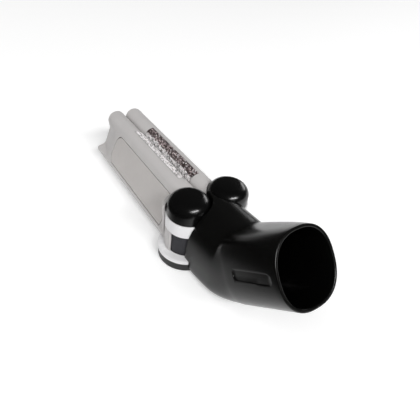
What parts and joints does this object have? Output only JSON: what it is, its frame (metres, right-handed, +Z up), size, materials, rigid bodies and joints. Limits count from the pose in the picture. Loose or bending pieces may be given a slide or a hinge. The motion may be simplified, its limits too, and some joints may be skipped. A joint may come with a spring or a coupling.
{
  "type": "folding vacuum upholstery nozzle",
  "caption": "Folding vacuum nozzle: elbow neck with an oval wand socket, hinge columns under domed caps, and two suction arms with lint strips that fold together or swing out.",
  "frame": {"origin": "middle of the footprint's bounding box, on the table", "axes": "+Y from the wand socket to the arm tips, +X to the right, +Z up along the hinge axes"},
  "size_m": [0.0668, 0.2262, 0.0739],
  "materials": {
    "neck_black": "satin black moulded plastic",
    "cover_black": "matt black moulded plastic",
    "cap_black": "glossy black moulded plastic",
    "sleeve_black": "matt black moulded plastic",
    "arm_grey": "fine-grained light grey plastic",
    "panel_grey": "fine-grained light grey plastic",
    "silver": "silver painted plastic",
    "steel": "plain steel",
    "lint": "short woven pile"
  },
  "bodies": {
    "neck": {"neck_body": "neck_black", "lower_cover": "cover_black", "base_plate": "silver", "left_cover_screw": "steel", "left_pivot_cap": "cap_black", "left_pivot_screw": "steel", "left_pivot_bush": "steel", "left_friction_washer": "steel", "left_port_sleeve": "sleeve_black", "right_cover_screw": "steel", "right_pivot_cap": "cap_black", "right_pivot_screw": "steel", "right_pivot_bush": "steel", "right_friction_washer": "steel", "right_port_sleeve": "sleeve_black"},
    "left_arm_body": {"left_arm": "arm_grey", "left_side_panel": "panel_grey", "left_lint_strip": "lint", "left_trim_ring": "silver"},
    "right_arm_body": {"right_arm": "arm_grey", "right_side_panel": "panel_grey", "right_lint_strip": "lint", "right_trim_ring": "silver"}
  },
  "joints": [
    {"name": "left_arm_hinge", "type": "hinge", "parent": "neck", "child": "left_arm_body", "pos_m": [-0.0148, -0.0192, 0], "axis": [0, 0, 1], "range_deg": [0, 90]},
    {"name": "right_arm_hinge", "type": "hinge", "parent": "neck", "child": "right_arm_body", "pos_m": [0.0148, -0.0192, 0], "axis": [0, 0, -1], "range_deg": [0, 90]}
  ]
}
